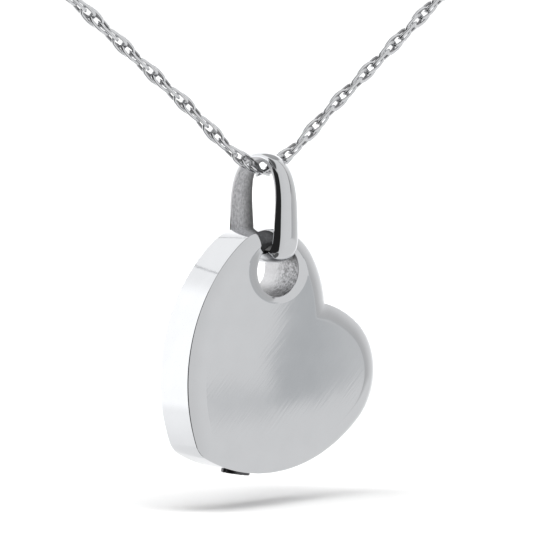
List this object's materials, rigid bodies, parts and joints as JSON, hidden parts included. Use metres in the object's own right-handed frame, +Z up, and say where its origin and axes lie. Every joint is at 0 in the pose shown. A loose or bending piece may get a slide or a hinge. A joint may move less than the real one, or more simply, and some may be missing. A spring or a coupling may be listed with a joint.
{
  "type": "keepsake urn pendant",
  "caption": "Slanted heart keepsake urn pendant with a screwed filler port, hanging by a teardrop bail from a rope chain that closes with a ring clasp.",
  "frame": {"origin": "where the clasp rests on the nape of the neck, on the neck side of the clasp at its middle", "axes": "+Z up, -Y is the way the wearer faces, +X is to the right as seen from the front, looking along +Y"},
  "size_m": [0.1302, 0.1294, 0.1155],
  "materials": {
    "heart_steel": "mirror polished stainless steel, cast texture inside the bail's hole",
    "screw_steel": "polished stainless steel",
    "bail_steel": "polished outside, grey cast texture inside",
    "chain_steel": "polished wire",
    "clasp_steel": "polished"
  },
  "bodies": {
    "necklace": {"chain": "chain_steel", "clasp": "clasp_steel"},
    "hanger": {"bail": "bail_steel"},
    "urn": {"heart_body": "heart_steel"},
    "plug": {"filler_screw": "screw_steel"}
  },
  "joints": [
    {"name": "bail_swing", "type": "hinge", "parent": "necklace", "child": "hanger", "pos_m": [0, -0.124, -0.082], "axis": [1, 0, 0], "range_deg": [-50, 50]},
    {"name": "heart_swing", "type": "hinge", "parent": "hanger", "child": "urn", "pos_m": [0, -0.12365, -0.0918], "axis": [0, 1, 0], "range_deg": [-60, 60]},
    {"name": "filler_unscrew", "type": "slide", "parent": "urn", "child": "plug", "axis": [-0.165, 0, -0.9863], "range_m": [0, 0.003]}
  ]
}
